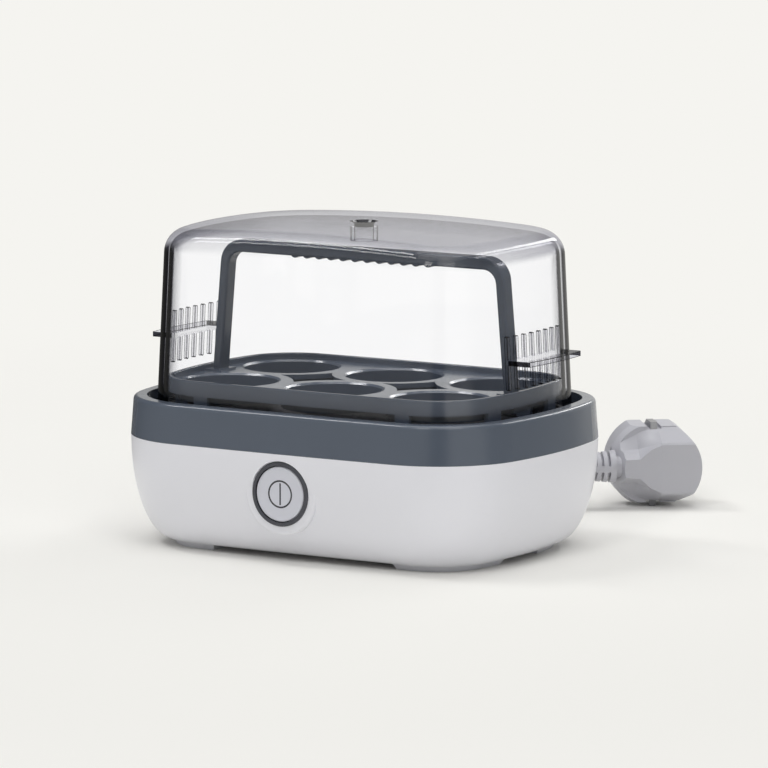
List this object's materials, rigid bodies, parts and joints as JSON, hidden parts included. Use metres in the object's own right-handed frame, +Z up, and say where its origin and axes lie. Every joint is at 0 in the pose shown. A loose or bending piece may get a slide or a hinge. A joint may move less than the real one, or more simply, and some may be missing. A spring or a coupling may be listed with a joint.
{
  "type": "electric egg cooker",
  "caption": "Tabletop steam cooker for eggs with an oblong base, front push button, polished water pan, lift-out egg tray with arched handle, clear lid with steam hole, and mains lead.",
  "frame": {"origin": "on the table, under the middle of the base's footprint", "axes": "+X along the long side of the base, to the right as seen from the push button; -Y out of the side with the push button; +Z up"},
  "size_m": [0.2091, 0.2428, 0.1335],
  "materials": {
    "white_shell": "smooth satin white moulding",
    "grey_band": "smooth satin slate grey moulding",
    "pan_steel": "polished stainless steel",
    "seal_silicone": "matt silicone",
    "plated_steel": "zinc plated",
    "heat_aluminium": "plain sheet",
    "element_sheath": "drawn tube, oxidised",
    "thermostat_body": "moulded phenolic",
    "fuse_sleeve": "woven glass sleeve",
    "dark_plastic": "smooth dark moulding",
    "button_plastic": "fine matt moulding",
    "switch_plastic": "moulded",
    "tray_plastic": "fine matt moulding",
    "handle_plastic": "fine matt moulding",
    "lid_clear": "clear polished moulding with a faint smoke tint",
    "cord_rubber": "pale flexible sheath",
    "wire_insulation": "silicone insulation",
    "tie_plastic": "flexible strip",
    "plug_plastic": "moulded pale grey",
    "pin_metal": "nickel plated"
  },
  "bodies": {
    "base": {"lower_housing": "white_shell", "upper_housing": "grey_band", "heating_pan": "pan_steel", "pan_seal": "seal_silicone", "pan_studs": "plated_steel", "stud_nuts": "plated_steel", "pan_brackets": "plated_steel", "bracket_screws": "plated_steel", "housing_screws": "plated_steel", "heat_plate": "heat_aluminium", "heating_element": "element_sheath", "thermostat": "thermostat_body", "thermostat_clip": "plated_steel", "thermal_fuse": "fuse_sleeve", "button_ring": "dark_plastic", "switch_body": "switch_plastic", "switch_bracket": "plated_steel", "switch_screws": "plated_steel", "cord_gland": "cord_rubber", "cord_inside": "cord_rubber", "cord_clamp": "switch_plastic", "clamp_screws": "plated_steel", "terminal_block": "switch_plastic", "inner_wires": "wire_insulation", "cord_lead": "cord_rubber", "cord_coil": "cord_rubber", "cord_tail": "cord_rubber", "cord_tie": "tie_plastic", "plug_body": "plug_plastic", "plug_relief": "plug_plastic", "plug_pins": "pin_metal", "plug_earth_clips": "pin_metal"},
    "button": {"push_button": "button_plastic", "switch_plunger": "switch_plastic"},
    "tray": {"egg_tray": "tray_plastic", "tray_handle": "handle_plastic"},
    "lid": {"lid": "lid_clear"}
  },
  "joints": [
    {"name": "button_press", "type": "slide", "parent": "base", "child": "button", "axis": [0, 1, 0], "range_m": [0, 0.0022], "stiffness_N_per_m": 400},
    {"name": "tray_lift", "type": "slide", "parent": "base", "child": "tray", "axis": [0, 0, 1], "range_m": [0, 0.06]},
    {"name": "lid_lift", "type": "slide", "parent": "tray", "child": "lid", "axis": [0, 0, 1], "range_m": [0, 0.08]}
  ]
}
